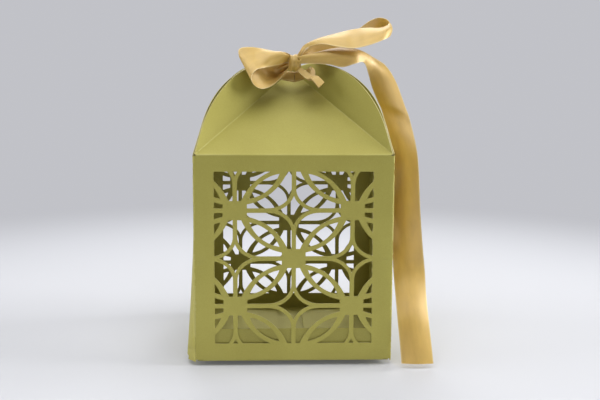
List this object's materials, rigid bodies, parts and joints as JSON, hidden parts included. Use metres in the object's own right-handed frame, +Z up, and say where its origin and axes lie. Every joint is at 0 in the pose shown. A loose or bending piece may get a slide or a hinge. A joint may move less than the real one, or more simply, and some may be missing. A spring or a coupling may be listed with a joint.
{
  "type": "laser-cut paper favour box",
  "caption": "Small upright paper favour box with lattice windows, a folding petal lid and a satin ribbon bow through the lid's fins.",
  "frame": {"origin": "centre of the underside of the closed bottom, on the surface it stands on", "axes": "+Z up towards the bow, the wall with the tuck tongue and the bow faces -Y, +X to the right seen from the front"},
  "size_m": [0.0725, 0.0636, 0.1045],
  "materials": {
    "card_outside": "pearlescent metallic card, satin sheen",
    "card_inside": "same card seen from inside, satin sheen",
    "satin": "satin weave ribbon, glossy along the weave"
  },
  "bodies": {
    "sleeve": {"front_panel": "card_outside", "right_panel": "card_outside", "back_panel": "card_outside", "left_panel": "card_outside", "glue_tab": "card_inside"},
    "bottom": {"bottom_panel": "card_inside"},
    "tongue": {"tuck_tongue": "card_inside"},
    "left_flap": {"left_dust_flap": "card_inside"},
    "right_flap": {"right_dust_flap": "card_inside"},
    "front_petal": {"front_petal": "card_outside"},
    "right_petal": {"right_petal": "card_outside"},
    "back_petal": {"back_petal": "card_outside"},
    "left_petal": {"left_petal": "card_outside"},
    "front_petal_left_wing": {"front_petal_left_wing": "card_outside"},
    "front_petal_right_wing": {"front_petal_right_wing": "card_outside"},
    "right_petal_left_wing": {"right_petal_left_wing": "card_outside"},
    "right_petal_right_wing": {"right_petal_right_wing": "card_outside"},
    "back_petal_left_wing": {"back_petal_left_wing": "card_outside"},
    "back_petal_right_wing": {"back_petal_right_wing": "card_outside"},
    "left_petal_left_wing": {"left_petal_left_wing": "card_outside"},
    "left_petal_right_wing": {"left_petal_right_wing": "card_outside"},
    "ribbon": {"ribbon_neck_band": "satin", "ribbon_knot": "satin", "ribbon_left_loop": "satin", "ribbon_right_loop": "satin", "ribbon_long_tail": "satin", "ribbon_short_tail": "satin"}
  },
  "joints": [
    {"name": "front_petal_crease", "type": "hinge", "parent": "sleeve", "child": "front_petal", "pos_m": [0, -0.02985, 0.0635], "axis": [1, 0, 0], "range_deg": [0, 95]},
    {"name": "right_petal_crease", "type": "hinge", "parent": "sleeve", "child": "right_petal", "pos_m": [0.02985, 0, 0.0635], "axis": [0, 1, 0], "range_deg": [0, 95]},
    {"name": "back_petal_crease", "type": "hinge", "parent": "sleeve", "child": "back_petal", "pos_m": [0, 0.02985, 0.0635], "axis": [-1, 0, 0], "range_deg": [0, 95]},
    {"name": "left_petal_crease", "type": "hinge", "parent": "sleeve", "child": "left_petal", "pos_m": [-0.02985, 0, 0.0635], "axis": [0, -1, 0], "range_deg": [0, 95]},
    {"name": "front_petal_left_wing_crease", "type": "hinge", "parent": "front_petal", "child": "front_petal_left_wing", "pos_m": [-0.02957, -0.0302, 0.0634], "axis": [-0.6127, -0.6127, -0.4993], "range_deg": [0, 63.47]},
    {"name": "front_petal_right_wing_crease", "type": "hinge", "parent": "front_petal", "child": "front_petal_right_wing", "pos_m": [0.02957, -0.0302, 0.0634], "axis": [-0.6127, 0.6127, 0.4993], "range_deg": [0, 63.47]},
    {"name": "right_petal_left_wing_crease", "type": "hinge", "parent": "right_petal", "child": "right_petal_left_wing", "pos_m": [0.0302, -0.02957, 0.0634], "axis": [0.6127, -0.6127, -0.4993], "range_deg": [0, 63.47]},
    {"name": "right_petal_right_wing_crease", "type": "hinge", "parent": "right_petal", "child": "right_petal_right_wing", "pos_m": [0.0302, 0.02957, 0.0634], "axis": [-0.6127, -0.6127, 0.4993], "range_deg": [0, 63.47]},
    {"name": "back_petal_left_wing_crease", "type": "hinge", "parent": "back_petal", "child": "back_petal_left_wing", "pos_m": [0.02957, 0.0302, 0.0634], "axis": [0.6127, 0.6127, -0.4993], "range_deg": [0, 63.47]},
    {"name": "back_petal_right_wing_crease", "type": "hinge", "parent": "back_petal", "child": "back_petal_right_wing", "pos_m": [-0.02957, 0.0302, 0.0634], "axis": [0.6127, -0.6127, 0.4993], "range_deg": [0, 63.47]},
    {"name": "left_petal_left_wing_crease", "type": "hinge", "parent": "left_petal", "child": "left_petal_left_wing", "pos_m": [-0.0302, 0.02957, 0.0634], "axis": [-0.6127, 0.6127, -0.4993], "range_deg": [0, 63.47]},
    {"name": "left_petal_right_wing_crease", "type": "hinge", "parent": "left_petal", "child": "left_petal_right_wing", "pos_m": [-0.0302, -0.02957, 0.0634], "axis": [0.6127, 0.6127, 0.4993], "range_deg": [0, 63.47]},
    {"name": "ribbon_lift", "type": "slide", "parent": "sleeve", "child": "ribbon", "axis": [0, 0, 1], "range_m": [0, 0.185], "deforming": ["ribbon_neck_band"]},
    {"name": "bottom_crease", "type": "hinge", "parent": "sleeve", "child": "bottom", "pos_m": [0, 0.0297, 0.0003], "axis": [1, 0, 0], "range_deg": [0, 80]},
    {"name": "tongue_crease", "type": "hinge", "parent": "bottom", "child": "tongue", "pos_m": [0, -0.0291, 0.0003], "axis": [1, 0, 0], "range_deg": [-80, 0]},
    {"name": "left_flap_crease", "type": "hinge", "parent": "sleeve", "child": "left_flap", "pos_m": [-0.0297, 0, 0.0009], "axis": [0, -1, 0], "range_deg": [0, 75]},
    {"name": "right_flap_crease", "type": "hinge", "parent": "sleeve", "child": "right_flap", "pos_m": [0.0297, 0, 0.0009], "axis": [0, 1, 0], "range_deg": [0, 75]}
  ],
  "couplings": [
    {"joint": "right_petal_crease", "follows": "front_petal_crease", "ratio": 1},
    {"joint": "back_petal_crease", "follows": "front_petal_crease", "ratio": 1},
    {"joint": "left_petal_crease", "follows": "front_petal_crease", "ratio": 1},
    {"joint": "front_petal_left_wing_crease", "follows": "front_petal_crease", "ratio": 0.66808},
    {"joint": "front_petal_right_wing_crease", "follows": "front_petal_crease", "ratio": 0.66808},
    {"joint": "right_petal_left_wing_crease", "follows": "front_petal_crease", "ratio": 0.66808},
    {"joint": "right_petal_right_wing_crease", "follows": "front_petal_crease", "ratio": 0.66808},
    {"joint": "back_petal_left_wing_crease", "follows": "front_petal_crease", "ratio": 0.66808},
    {"joint": "back_petal_right_wing_crease", "follows": "front_petal_crease", "ratio": 0.66808},
    {"joint": "left_petal_left_wing_crease", "follows": "front_petal_crease", "ratio": 0.66808},
    {"joint": "left_petal_right_wing_crease", "follows": "front_petal_crease", "ratio": 0.66808},
    {"joint": "ribbon_lift", "follows": "front_petal_crease", "m_per_rad": 0.11},
    {"joint": "tongue_crease", "follows": "bottom_crease", "ratio": -1}
  ]
}
